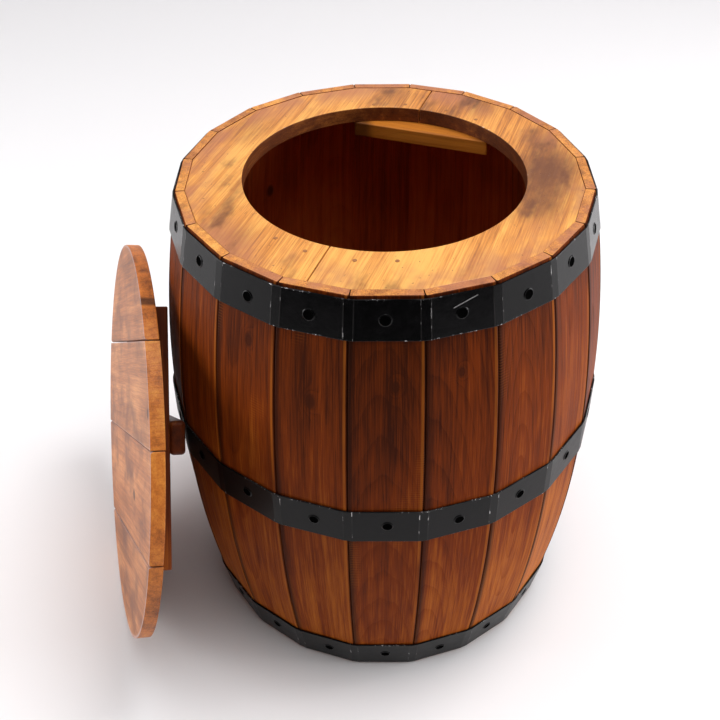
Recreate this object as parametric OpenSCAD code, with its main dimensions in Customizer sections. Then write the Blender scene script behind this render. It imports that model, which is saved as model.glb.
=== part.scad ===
// Coopered storage barrel with an open head ring and a loose lid that leans on its side.
//
// Flat staves stand in a ring, cut to an arc so that the barrel swells at the middle. Three
// nailed straps hold them. A two-board ring closes the top down to a round mouth, a planked
// floor closes the bottom, and the lid is four planks on two battens with a bar for a handle.
// Millimetres, +Z up. The origin is on the barrel's axis, in the plane that it stands on.

/* [Barrel] */
// Height over the ends of the staves
barrel_h = 386; // [340:1:440]
// Radius over the stave corners at the two ends
end_r = 150; // [140:0.5:154]
// Radius over the stave corners at the middle of the height
bilge_r = 171.7; // [165:0.1:172]
// Number of staves, which is also the number of nails in each hoop
stave_count = 20; // [16:1:24]
// Thickness of a stave
stave_t = 7; // [5:0.5:10]
// Width of the chamfer along a stave's outer edges
stave_chamfer = 1.2; // [0.4:0.1:2.5]
// Gap between the sides of neighbouring staves
stave_gap = 0.2; // [0.1:0.05:0.6]

/* [Hoops] */
// Thickness of the steel strap
hoop_t = 1.2; // [0.8:0.1:2]
// Width of the top hoop
top_hoop_w = 28; // [20:0.5:34]
// Wood left showing above the top hoop
top_hoop_drop = 1.5; // [0.5:0.5:6]
// Width of the middle hoop
middle_hoop_w = 30.5; // [20:0.5:34]
// Height of the middle hoop's lower edge
middle_hoop_z = 184; // [170:1:195]
// Width of the bottom hoop
bottom_hoop_w = 33; // [20:0.5:36]
// Height of the bottom hoop's lower edge
bottom_hoop_z = 2; // [1:0.5:8]
// Width of the flattened strip where a strap crosses a joint
crease_w = 6; // [3:0.5:8]

/* [Hoop nails] */
// Diameter of the dished head
hoop_nail_head_d = 6.6; // [5:0.2:8]
// Height of the head's rim above the strap
hoop_nail_head_h = 0.9; // [0.6:0.1:1.2]
// Diameter of the shank
hoop_nail_shank_d = 2; // [1.6:0.1:2.4]
// Depth that the shank reaches below the strap's outer face
hoop_nail_reach = 7; // [5:0.5:8]

/* [Heads] */
// Thickness of the ring's boards and of the floor's planks
head_t = 12; // [9:0.5:15]
// Clearance between a head and the staves
head_fit = 0.2; // [0.1:0.05:0.5]
// Radius of the mouth
mouth_r = 102.5; // [90:0.5:108]
// How far the mouth's centre sits behind the barrel's axis
mouth_y = 3; // [0:0.5:5]
// Direction of the boards, counted from +X
board_turn = 71.3; // [0:0.1:180]
// Distance of the ring's joint from the axis
ring_joint = -4.8; // [-20:0.1:20]
// Gap in the ring's joint
ring_gap = 0.6; // [0.2:0.1:1]
// Width of a floor plank
floor_plank_w = 72; // [66:1:78]
// Distance of the floor's middle joint from the axis
floor_joint = 6; // [4:0.5:12]
// Gap between floor planks
floor_gap = 0.4; // [0.2:0.1:1]

/* [Battens inside the barrel] */
// Thickness of every batten
batten_t = 12; // [10:0.5:13]
// Width of the battens inside the barrel
batten_w = 28; // [20:1:32]
// Length of the battens under the ring
ring_batten_len = 110; // [90:1:130]
// Distance from the axis to the near side of a ring batten
ring_batten_in = 91.3; // [86:0.1:95]
// Length of the battens on the floor
floor_batten_len = 228; // [200:1:236]
// Distance from the axis to the middle of a floor batten
floor_batten_at = 62; // [50:1:70]

/* [Lid] */
// Radius of the lid
lid_r = 161.5; // [155:0.5:165]
// Thickness of the lid's planks
lid_t = 10.5; // [9:0.5:12]
// Place of the lower plank joint across the lid
lid_joint_low = -79; // [-84:1:-72]
// Place of the middle plank joint
lid_joint_mid = 5; // [-10:1:10]
// Place of the upper plank joint
lid_joint_high = 81; // [72:1:84]
// Gap in a lid joint
lid_gap = 0.8; // [0.2:0.1:1.2]
// Chamfer along the lid's joints
lid_chamfer = 2; // [0.5:0.1:3]
// Width of a lid batten
lid_batten_w = 52; // [40:1:56]
// Length of a lid batten
lid_batten_len = 198; // [180:1:204]
// Distance from the lid's middle to the middle of each batten, along the planks
lid_batten_at = 71; // [66:1:74]
// How far the battens and the handle bar sit off the lid's middle, across the planks
lid_batten_shift = 7.5; // [0:0.5:10]
// Width of the handle bar
handle_w = 26; // [20:1:30]
// Length of the handle bar
handle_len = 192; // [170:1:194]
// Rounding along the handle bar's edges
handle_round = 3; // [1:0.5:5]

/* [Where the lid leans] */
// Lean of the lid from upright
lid_lean = 11.4; // [8:0.1:16]
// Turn of the lid about the vertical
lid_turn = 15.3; // [10:0.1:20]
// Climb of the planks towards the front of the barrel
lid_plank_climb = 37.7; // [0:0.1:90]
// Place of the lid's middle, to the right
lid_x = -213.3; // [-230:0.1:-213.3]
// Place of the lid's middle, to the back
lid_y = -41.2; // [-50:0.1:-30]

/* [Wood nails] */
// Diameter of a flush nail head
nail_head_d = 3; // [2.4:0.2:5]
// Thickness of a flush nail head
nail_head_t = 0.8; // [0.6:0.1:1]
// Diameter of a nail's shank
nail_shank_d = 1.8; // [1.4:0.1:2.2]
// Length of a nail under its head
nail_len = 19; // [16:0.5:20]

/* [Hidden] */
// half of the angle that one stave takes
half = 180 / stave_count;
stave_step = 2 * half;
mid_h = barrel_h / 2;

// flat-to-axis distances of the outer faces, and the arc that joins them
end_flat = end_r * cos(half);
bilge_flat = bilge_r * cos(half);
rise = bilge_flat - end_flat;
arc_r = (mid_h * mid_h + rise * rise) / (2 * rise);
arc_fn = 720;
reach = 1.2 * bilge_r;

// the chamfer's face leans this far off the joint, and follows an arc of its own
chamfer_turn = 35;
chamfer_share = cos(chamfer_turn) / cos(half);
chamfer_cut = stave_chamfer * sin(half + chamfer_turn);
chamfer_rise = chamfer_share * rise;
chamfer_arc_r = (mid_h * mid_h + chamfer_rise * chamfer_rise) / (2 * chamfer_rise);
chamfer_mid = chamfer_share * bilge_flat - chamfer_cut;

// depth that flattening takes off a hoop's corner
crease_cut = crease_w / 2 * tan(half);

top_hoop_z = barrel_h - top_hoop_drop - top_hoop_w;
head_r = (end_flat - stave_t - head_fit) / cos(half);
ring_batten_at = ring_batten_in + batten_w / 2;
ring_batten_top = barrel_h - head_t;

// nails through the ring into each of its battens: place along the batten, and how far out
// from the batten's middle line, clear of the mouth
ring_nail_places = [[-42, -3], [-18, 5], [16, 5], [42, -3]];
// one nail for each floor plank in each floor batten, and the same on the lid
floor_nails_along = [
    12 - floor_batten_len / 2, floor_joint - floor_plank_w / 2,
    floor_joint + floor_plank_w / 2, floor_batten_len / 2 - 12
];
lid_nails_across = [-86, -38, 42, 93];
lid_nail_stagger = 12;
handle_nail_stagger = 12;

stave_wood = "#8a4316";
ring_wood = "#d08f4a";
lid_wood = "#b87847";
raw_wood = "#a06a2c";
black_steel = "#1d1d20";
nail_steel = "#4a4743";

lid_joints = [lid_joint_low, lid_joint_mid, lid_joint_high];
lid_z = lid_r * cos(lid_lean) + lid_t * sin(lid_lean);
eps = 0.01;

// distance from the axis to a stave's face at height z, and how far that face leans in there
function flat_at(z) = bilge_flat - arc_r + sqrt(arc_r * arc_r - (z - mid_h) * (z - mid_h));
function lean_at(z) = asin((z - mid_h) / arc_r);

function two_digits(i) = str(i < 10 ? "0" : "", i);
function stave_name(i) = str("stave_", two_digits(i));
function floor_plank_name(i) = str("floor_plank_", i);
function lid_plank_name(i) = str("lid_plank_", i);

SIDES = [-1, 1];
BOARDS = ["left", "right"];
PLACES = ["front", "back"];
FLOOR_PLANKS = [1 : 4];
LID_PLANKS = [1 : 4];

// ---- placing ----

// turns a piece drawn along +X to the place of stave i; stave 1 faces the front, -Y
module at_stave(i) {
    rotate([0, 0, -90 + (i - 1) * stave_step]) children();
}

// puts +X square to the stave's outer face at height z
module on_arc(z) {
    translate([bilge_flat - arc_r, 0, mid_h])
        rotate([0, -lean_at(z), 0])
            translate([arc_r, 0, 0]) children();
}

// turns X across the boards of the heads and Y along them
module along_boards() {
    rotate([0, 0, board_turn - 90]) children();
}

// stands the lid on its edge; drawn flat, its outer face is z = 0 and its back is below
module lid_place() {
    translate([lid_x, lid_y, lid_z])
        rotate([0, lid_lean - 90, lid_turn])
            rotate([0, 0, lid_plank_climb - 90]) children();
}

// ---- shared shapes ----

// everything inside the staves' outer arc, grown by grow
module arc_body(grow) {
    translate([bilge_flat - arc_r, 0, mid_h])
        rotate([90, 0, 180])
            cylinder(r = arc_r + grow, h = 2 * reach, center = true, $fn = arc_fn);
}

// everything inside the arc of the chamfer on the side that side names
module chamfer_body(side) {
    rotate([0, 0, side * (half + chamfer_turn)])
        translate([chamfer_mid - chamfer_arc_r, 0, mid_h])
            rotate([90, 0, 180])
                cylinder(r = chamfer_arc_r, h = 2 * reach, center = true, $fn = arc_fn);
}

// the space behind a plane that faces +X
module behind_plane() {
    translate([-2 * reach, -reach, -reach]) cube(2 * reach);
}

// everything inside the planes that touch the staves at height z, grown by grow
module strap_body(z, grow) {
    intersection_for (i = [1 : stave_count])
        at_stave(i)
            on_arc(z)
                translate([grow, 0, 0]) behind_plane();
}

// the planes that flatten a strap's corners at the joints between staves
module crease_body(z) {
    intersection_for (i = [1 : stave_count])
        at_stave(i + 0.5)
            translate([(flat_at(z) + hoop_t / cos(lean_at(z))) / cos(half) - crease_cut, 0, z])
                rotate([0, -atan(tan(lean_at(z)) / cos(half)), 0]) behind_plane();
}

// the wedge of space that one stave may fill
module stave_wedge() {
    wide = reach * tan(half) - stave_gap / (2 * cos(half));
    linear_extrude(barrel_h)
        polygon([[stave_gap / (2 * sin(half)), 0], [reach, -wide], [reach, wide]]);
}

// a flush-headed nail driven down from z = 0
module flush_nail() {
    translate([0, 0, -nail_head_t]) cylinder(d = nail_head_d, h = nail_head_t, $fn = 32);
    translate([0, 0, -nail_head_t - nail_len])
        cylinder(d = nail_shank_d, h = nail_len + eps, $fn = 24);
}

// ---- staves ----

module stave(i) {
    color(stave_wood)
        at_stave(i)
            difference() {
                intersection() {
                    difference() {
                        arc_body(0);
                        arc_body(-stave_t);
                    }
                    stave_wedge();
                    chamfer_body(-1);
                    chamfer_body(1);
                }
                hoop_nail_shank(top_hoop_z + top_hoop_w / 2);
                hoop_nail_shank(middle_hoop_z + middle_hoop_w / 2);
                hoop_nail_shank(bottom_hoop_z + bottom_hoop_w / 2);
            }
}

// ---- hoops and their nails ----

module hoop_nail_shank(z) {
    on_arc(z)
        translate([hoop_t - hoop_nail_reach, 0, 0])
            rotate([0, 90, 0]) cylinder(d = hoop_nail_shank_d, h = hoop_nail_reach, $fn = 24);
}

// a dished head: a flat underside, a raised rim and a hollow in the middle
module hoop_nail(z) {
    hoop_nail_shank(z);
    on_arc(z)
        translate([hoop_t, 0, 0])
            rotate([0, 90, 0])
                rotate_extrude($fn = 48)
                    polygon([
                        [0, 0],
                        [hoop_nail_head_d / 2, 0],
                        [hoop_nail_head_d / 2, hoop_nail_head_h / 2],
                        [hoop_nail_head_d / 2 - 0.5, hoop_nail_head_h],
                        [hoop_nail_head_d / 2 - 1.1, hoop_nail_head_h],
                        [0.8, hoop_nail_head_h / 2],
                        [0, hoop_nail_head_h / 2]
                    ]);
}

// the strap follows the flats, and is bent a little flatter across each joint between staves
module hoop(z, w) {
    mid_z = z + w / 2;
    color(black_steel)
        difference() {
            intersection() {
                translate([-reach, -reach, z]) cube([2 * reach, 2 * reach, w]);
                strap_body(mid_z, hoop_t);
                crease_body(mid_z);
            }
            strap_body(mid_z, 0);
            for (i = [1 : stave_count])
                at_stave(i) hoop_nail_shank(mid_z);
        }
}

module hoop_nails(z, w) {
    color(black_steel)
        for (i = [1 : stave_count])
            at_stave(i) hoop_nail(z + w / 2);
}

// ---- the ring at the mouth ----

// a flat head cut to the shape that the staves leave
module head_blank(z) {
    translate([0, 0, z])
        linear_extrude(head_t)
            polygon([
                for (i = [1 : stave_count])
                    head_r * [cos(half + (i - 1) * stave_step - 90),
                              sin(half + (i - 1) * stave_step - 90)]
            ]);
}

module ring_board(side) {
    edge = ring_joint + side * ring_gap / 2;
    color(ring_wood)
        difference() {
            intersection() {
                head_blank(barrel_h - head_t);
                along_boards()
                    translate([side > 0 ? edge : edge - reach, -reach, 0])
                        cube([reach, 2 * reach, barrel_h]);
            }
            translate([0, mouth_y, barrel_h - head_t - 1])
                cylinder(r = mouth_r, h = head_t + 2, $fn = 180);
            ring_nail_set();
        }
}

module ring_batten(side) {
    color(raw_wood)
        difference() {
            along_boards()
                translate([0, side * ring_batten_at, ring_batten_top - batten_t / 2])
                    cube([ring_batten_len, batten_w, batten_t], center = true);
            ring_nail_set();
        }
}

module ring_nail_set() {
    along_boards()
        for (side = SIDES)
            for (place = ring_nail_places)
                translate([place[0], side * (ring_batten_at + place[1]), barrel_h])
                    flush_nail();
}

module ring_nails() {
    color(nail_steel) ring_nail_set();
}

// ---- the floor ----

// planks 1 and 4 are the outer ones, and take what the two middle planks leave
module floor_plank(i) {
    low = i == 1 ? -reach : floor_joint + (i - 3) * floor_plank_w + floor_gap / 2;
    high = i == 4 ? reach : floor_joint + (i - 2) * floor_plank_w - floor_gap / 2;
    color(lid_wood)
        difference() {
            intersection() {
                head_blank(0);
                along_boards()
                    translate([low, -reach, 0]) cube([high - low, 2 * reach, barrel_h]);
            }
            floor_nail_set();
        }
}

module floor_batten(side) {
    color(raw_wood)
        difference() {
            along_boards()
                translate([0, side * floor_batten_at, head_t + batten_t / 2])
                    cube([floor_batten_len, batten_w, batten_t], center = true);
            floor_nail_set();
        }
}

module floor_nail_set() {
    along_boards()
        for (side = SIDES)
            for (x = floor_nails_along)
                translate([x, side * floor_batten_at, head_t + batten_t]) flush_nail();
}

module floor_nails() {
    color(nail_steel) floor_nail_set();
}

// ---- the lid ----

// one plank of the lid, drawn between the joints at low and high
module lid_plank_shape(low, high) {
    a = low + lid_gap / 2;
    b = high - lid_gap / 2;
    intersection() {
        translate([0, 0, -lid_t]) cylinder(r = lid_r, h = lid_t, $fn = 180);
        rotate([90, 0, 90])
            linear_extrude(2 * reach, center = true)
                polygon([
                    [a, -lid_t], [b, -lid_t],
                    [b, -lid_chamfer], [b - lid_chamfer, 0],
                    [a + lid_chamfer, 0], [a, -lid_chamfer]
                ]);
    }
}

module lid_plank(i) {
    low = i == 1 ? -reach : lid_joints[i - 2];
    high = i == 4 ? reach : lid_joints[i - 1];
    color(lid_wood)
        lid_place()
            difference() {
                lid_plank_shape(low, high);
                lid_nail_set();
            }
}

// both battens cross the planks; the one on the +X side ends up higher when the lid leans
module lid_batten(side) {
    color(raw_wood)
        lid_place()
            difference() {
                translate([side * lid_batten_at, lid_batten_shift, -lid_t - batten_t / 2])
                    cube([lid_batten_w, lid_batten_len, batten_t], center = true);
                lid_nail_set();
                handle_nail_set();
            }
}

module lid_handle_bar() {
    w = handle_w / 2 - handle_round;
    t = batten_t / 2 - handle_round;
    color(raw_wood)
        lid_place()
            difference() {
                translate([0, lid_batten_shift, -lid_t - 1.5 * batten_t])
                    rotate([90, 0, 90])
                        linear_extrude(handle_len, center = true) {
                            square([handle_w, 2 * t], center = true);
                            square([2 * w, batten_t], center = true);
                            for (x = SIDES)
                                for (y = SIDES)
                                    translate([x * w, y * t]) circle(r = handle_round, $fn = 48);
                        }
                handle_nail_set();
            }
}

// nails through the battens into the planks, driven from the batten side
module lid_nail_set() {
    for (side = SIDES)
        for (k = [0 : len(lid_nails_across) - 1])
            translate([side * lid_batten_at + (k % 2 == 0 ? 1 : -1) * lid_nail_stagger,
                       lid_nails_across[k],
                       -lid_t - batten_t])
                rotate([180, 0, 0]) flush_nail();
}

// nails through the handle bar into the battens
module handle_nail_set() {
    for (side = SIDES)
        for (step = SIDES)
            translate([side * lid_batten_at + step * handle_nail_stagger,
                       lid_batten_shift,
                       -lid_t - 2 * batten_t])
                rotate([180, 0, 0]) flush_nail();
}

module lid_nails() {
    color(nail_steel)
        lid_place() {
            lid_nail_set();
            handle_nail_set();
        }
}

// ---- what is drawn ----

for (i = [1 : stave_count])
    stave(i);
hoop(top_hoop_z, top_hoop_w);  // hoop_top
hoop(middle_hoop_z, middle_hoop_w);  // hoop_middle
hoop(bottom_hoop_z, bottom_hoop_w);  // hoop_bottom
hoop_nails(top_hoop_z, top_hoop_w);  // hoop_nails_top
hoop_nails(middle_hoop_z, middle_hoop_w);  // hoop_nails_middle
hoop_nails(bottom_hoop_z, bottom_hoop_w);  // hoop_nails_bottom
for (k = [0 : 1]) {
    ring_board(SIDES[k]);
    ring_batten(SIDES[k]);
    floor_batten(SIDES[k]);
}
ring_nails();
for (i = FLOOR_PLANKS)
    floor_plank(i);
floor_nails();
for (i = LID_PLANKS)
    lid_plank(i);
lid_batten(1);  // lid_batten_upper
lid_batten(-1);  // lid_batten_lower
lid_handle_bar();
lid_nails();
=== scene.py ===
"""A coopered barrel with a loose lid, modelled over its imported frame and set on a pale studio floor."""

import math
import random

import bmesh
import bpy
from bpy.props import FloatProperty, FloatVectorProperty, IntProperty, PointerProperty
from mathutils import Matrix, Vector, noise


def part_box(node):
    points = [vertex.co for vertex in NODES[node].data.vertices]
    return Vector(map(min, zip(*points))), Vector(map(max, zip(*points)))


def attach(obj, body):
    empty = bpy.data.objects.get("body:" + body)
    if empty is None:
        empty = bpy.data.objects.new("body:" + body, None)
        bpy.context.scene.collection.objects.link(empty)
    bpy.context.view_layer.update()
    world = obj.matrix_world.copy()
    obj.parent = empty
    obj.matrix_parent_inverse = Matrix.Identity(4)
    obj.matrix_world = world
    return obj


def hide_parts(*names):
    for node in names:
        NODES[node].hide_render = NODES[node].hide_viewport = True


bl_info = {
    "name": "Coopered Barrel",
    "version": (1, 0, 0),
    "blender": (4, 5, 0),
    "location": "3D View > Sidebar > Barrel",
    "description": "Staves, straps, head ring, floor and leaning lid of a stained storage barrel",
    "category": "Add Mesh",
}

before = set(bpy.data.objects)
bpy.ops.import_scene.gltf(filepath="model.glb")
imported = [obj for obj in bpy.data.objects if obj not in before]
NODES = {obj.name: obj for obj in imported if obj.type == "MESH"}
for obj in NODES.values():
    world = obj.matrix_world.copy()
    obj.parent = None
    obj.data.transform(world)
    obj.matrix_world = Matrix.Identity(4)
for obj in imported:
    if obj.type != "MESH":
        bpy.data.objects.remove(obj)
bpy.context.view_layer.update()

# ---- what the frame gives ----

STAVES = sorted(name for name in NODES if name.startswith("stave_"))
STAVE_COUNT = len(STAVES)
HALF = math.pi / STAVE_COUNT
BAY = 2 * HALF

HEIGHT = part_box("stave_01")[1].z
FOOT = [-v.co.y for v in NODES["stave_01"].data.vertices if v.co.z < 0.0005]
FLAT_MID = -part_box("stave_01")[0].y
FLAT_END = max(FOOT)
STAVE_THICK = FLAT_END - min(FOOT)
RISE = FLAT_MID - FLAT_END
ARC = ((HEIGHT / 2) ** 2 + RISE**2) / (2 * RISE)
STAVE_WIDE = 2 * FLAT_MID * math.tan(HALF)

# each strap and how dull its paint is
STRAP_GLOSS = {"top": 0.20, "middle": 0.36, "bottom": 0.34}
HEAD_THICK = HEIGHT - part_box("ring_board_left")[0].z
HEAD_CORNER = (FLAT_END - STAVE_THICK) / math.cos(HALF)
LID_PLANKS = sorted(name for name in NODES if name.startswith("lid_plank_"))
FLOOR_PLANKS = sorted(name for name in NODES if name.startswith("floor_plank_"))

# how far a visible face stays inside its node, and half the gap between two boards
HAIR = 0.0002
HALF_JOINT = 0.0004
# widths of the rounded edges of each kind of piece
STAVE_END_EDGE = 0.0004
STRAP_EDGE = 0.0003
RING_EDGE = 0.0006
FLOOR_EDGE = 0.0007
LID_EDGE = 0.0008
BATTEN_EDGE = 0.0011
BAR_EDGE = 0.003
# rows that turn a point into (across, depth, along) for boards that run along X or along Y
ALONG_X = Matrix(((0, 1, 0), (0, 0, 1), (1, 0, 0)))
ALONG_Y = Matrix(((1, 0, 0), (0, 0, 1), (0, 1, 0)))
# a knot is a place across and along its board, and a size; this one lies far off the board
NO_KNOT = (0, 9, 0.01)


def joined_box(names):
    """Lowest and highest corners round several nodes."""
    boxes = [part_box(name) for name in names]
    low = Vector(min(box[0][k] for box in boxes) for k in range(3))
    high = Vector(max(box[1][k] for box in boxes) for k in range(3))
    return low, high


def flat_at(z):
    """Distance from the barrel's axis to the outer face of a stave at height z."""
    return FLAT_MID - ARC + math.sqrt(ARC**2 - (z - HEIGHT / 2) ** 2)


# ---- what a user may change ----


def length(name, description, default):
    """A size in metres for a property group."""
    return FloatProperty(name=name, description=description, default=default, unit="LENGTH", precision=4)


def angle(name, description, degrees):
    """An angle for a property group."""
    return FloatProperty(name=name, description=description, default=math.radians(degrees), subtype="ANGLE")


def power(name, description, default):
    """A light's power or a brightness for a property group."""
    return FloatProperty(name=name, description=description, default=default, min=0)


def colour(name, description, default):
    """A colour for a property group."""
    return FloatVectorProperty(
        name=name, description=description, default=default, size=3, min=0, max=1, subtype="COLOR"
    )


class BarrelSizes(bpy.types.PropertyGroup):
    """Sizes of the barrel's own pieces"""

    stave_chamfer: length("Stave chamfer", "Width of the chamfer along a stave's outer edges", 0.0013)
    stave_gap: length("Stave gap", "Gap between neighbouring staves", 0.0003)
    crease: length("Strap crease", "Width of the flattened strip where a strap crosses a joint", 0.006)
    strap_thick: length("Strap thickness", "Thickness of the steel strap", 0.0012)
    dish: length("Nail head", "Diameter of a strap nail's dished head", 0.0092)
    mouth: length("Mouth radius", "Radius of the round mouth", 0.1025)
    mouth_back: length("Mouth set back", "How far the mouth sits behind the barrel's axis", 0.003)
    ring_joint: length("Ring joint", "Distance of the head ring's joint from the axis", -0.0048)
    floor_joint: length("Floor joint", "Distance of the floor's middle joint from the axis", 0.006)
    floor_plank: length("Floor plank", "Width of a floor plank", 0.072)
    board_turn: angle("Board direction", "Direction of the head boards, counted from the right", 71.3)


class LidSizes(bpy.types.PropertyGroup):
    """Sizes of the lid and how it leans"""

    lean: angle("Lean", "Lean of the lid from upright", 11.4)
    turn: angle("Turn", "Turn of the lid about the vertical", 15.3)
    climb: angle("Plank climb", "Climb of the planks towards the front of the barrel", 37.7)
    radius: length("Radius", "Radius of the lid", 0.1615)
    thick: length("Thickness", "Thickness of the planks", 0.0105)
    joint_low: length("Lower joint", "Place of the lower plank joint across the lid", -0.079)
    joint_mid: length("Middle joint", "Place of the middle plank joint across the lid", 0.005)
    joint_high: length("Upper joint", "Place of the upper plank joint across the lid", 0.081)
    groove: length("Groove", "Chamfer along the joints of the plain face", 0.002)
    batten_thick: length("Batten thickness", "Thickness of the battens and of the handle bar", 0.012)
    batten_wide: length("Batten width", "Width of a batten", 0.052)
    batten_long: length("Batten length", "Length of a batten", 0.198)
    batten_out: length("Batten place", "Distance from the lid's middle to the middle of a batten", 0.071)
    shift: length("Batten shift", "How far the battens sit off the lid's middle, across the planks", 0.0075)
    bar_wide: length("Bar width", "Width of the handle bar", 0.026)
    bar_long: length("Bar length", "Length of the handle bar", 0.192)


class BarrelColours(bpy.types.PropertyGroup):
    """Colours of the woods and of the steel"""

    scorch: colour("Scorch", "Brown marks on the head ring", (0.17, 0.058, 0.022))
    blush: colour("Blush", "Pink-brown tone near the rim of the head ring", (0.42, 0.150, 0.080))
    grime: colour("Lid grime", "Brown patches on the lid's plain face", (0.150, 0.048, 0.024))
    rubbed: colour("Lid, worn edge", "Grey worn edge of the lid's plain face", (0.52, 0.42, 0.42))
    paint: colour("Strap paint", "Black paint on the straps", (0.0022, 0.0021, 0.0023))
    bare_steel: colour("Bare steel", "Steel where the paint has chipped", (0.62, 0.60, 0.60))
    nail: colour("Nail steel", "Stained heads of the flush nails", (0.30, 0.120, 0.040))
    paper: colour("Studio paper", "The pale floor and backdrop", (0.90, 0.885, 0.895))


# the woods: what each one is, and its dark, body and light tones
WOODS = {
    "stave": ("the stained staves", (0.055, 0.0100, 0.0018), (0.215, 0.0370, 0.0026), (0.52, 0.150, 0.0150)),
    # painted light: the wood inside is lighter than the stain outside, to make up for the dim light inside
    # the barrel
    "inside": ("the wood inside", (0.14, 0.024, 0.004), (0.46, 0.100, 0.016), (0.68, 0.20, 0.035)),
    "ring": ("the head ring", (0.27, 0.080, 0.018), (0.68, 0.26, 0.052), (0.90, 0.45, 0.105)),
    "lid": ("the lid's faces", (0.15, 0.046, 0.015), (0.42, 0.150, 0.050), (0.70, 0.31, 0.120)),
    "rim": ("the lid's sawn rim", (0.11, 0.025, 0.006), (0.60, 0.175, 0.026), (0.88, 0.36, 0.060)),
    "raw": ("the plain battens", (0.24, 0.070, 0.010), (0.50, 0.160, 0.014), (0.70, 0.26, 0.030)),
    "wall": ("the mouth's sawn wall", (0.045, 0.008, 0.002), (0.150, 0.035, 0.006), (0.42, 0.135, 0.024)),
}
TONES = ("dark", "body", "light")
for wood, (what, *defaults) in WOODS.items():
    for tone_name, default in zip(TONES, defaults):
        BarrelColours.__annotations__[f"{wood}_{tone_name}"] = colour(
            f"{wood.title()}, {tone_name}", f"The {tone_name} tone of {what}", default
        )


def tones_of(colours, wood):
    """The dark, body and light tones of one wood."""
    return [getattr(colours, f"{wood}_{tone_name}") for tone_name in TONES]


class StudioSettings(bpy.types.PropertyGroup):
    """The camera and the light"""

    eye: FloatVectorProperty(
        name="Camera place",
        description="Where the camera stands",
        default=(-0.01055, -0.64732, 0.75466),
        unit="LENGTH",
    )
    yaw: angle("Yaw", "Turn of the camera to the right", -0.748)
    pitch: angle("Pitch", "How far the camera looks down", 40.03)
    roll: angle("Roll", "Roll of the camera", -0.66)
    lens: FloatProperty(name="Lens", description="Focal length in millimetres", default=50.92, min=1)
    world: power("Surroundings", "Brightness of the pale surroundings", 0.48)
    key: power("Key light", "Power of the small high light at the right, in watts", 21)
    overhead: power("Overhead light", "Power of the large light overhead, in watts", 16)
    right: power("Right light", "Power of the light at the right, in watts", 23)
    left: power("Left light", "Power of the light at the left, in watts", 19)
    seed: IntProperty(name="Seed", description="Start of the random differences between boards", default=7)


GROUPS = {"sizes": BarrelSizes, "lid": LidSizes, "colours": BarrelColours, "studio": StudioSettings}


def settings(context, *names):
    """The property groups by their short names."""
    return [getattr(context.scene, "barrel_" + name) for name in names]


# ---- finishes ----


class Wire:
    """An output in a finish's node tree. Sums and products of wires add their own Math nodes."""

    def __init__(self, finish, socket):
        self.finish = finish
        self.socket = socket

    def __add__(self, other):
        return self.finish.maths("ADD", self, other)

    def __sub__(self, other):
        return self.finish.maths("SUBTRACT", self, other)

    def __rsub__(self, other):
        return self.finish.maths("SUBTRACT", other, self)

    def __mul__(self, other):
        return self.finish.maths("MULTIPLY", self, other)

    def __truediv__(self, other):
        return self.finish.maths("DIVIDE", self, other)

    def __pow__(self, other):
        return self.finish.maths("POWER", self, other)

    __radd__ = __add__
    __rmul__ = __mul__

    def step(self, low, high):
        """Rises smoothly from 0 at low to 1 at high; with high below low, it falls."""
        inputs = {"Value": self, "From Min": low, "From Max": high}
        return self.finish.node("ShaderNodeMapRange", {"interpolation_type": "SMOOTHSTEP"}, inputs)


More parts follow.
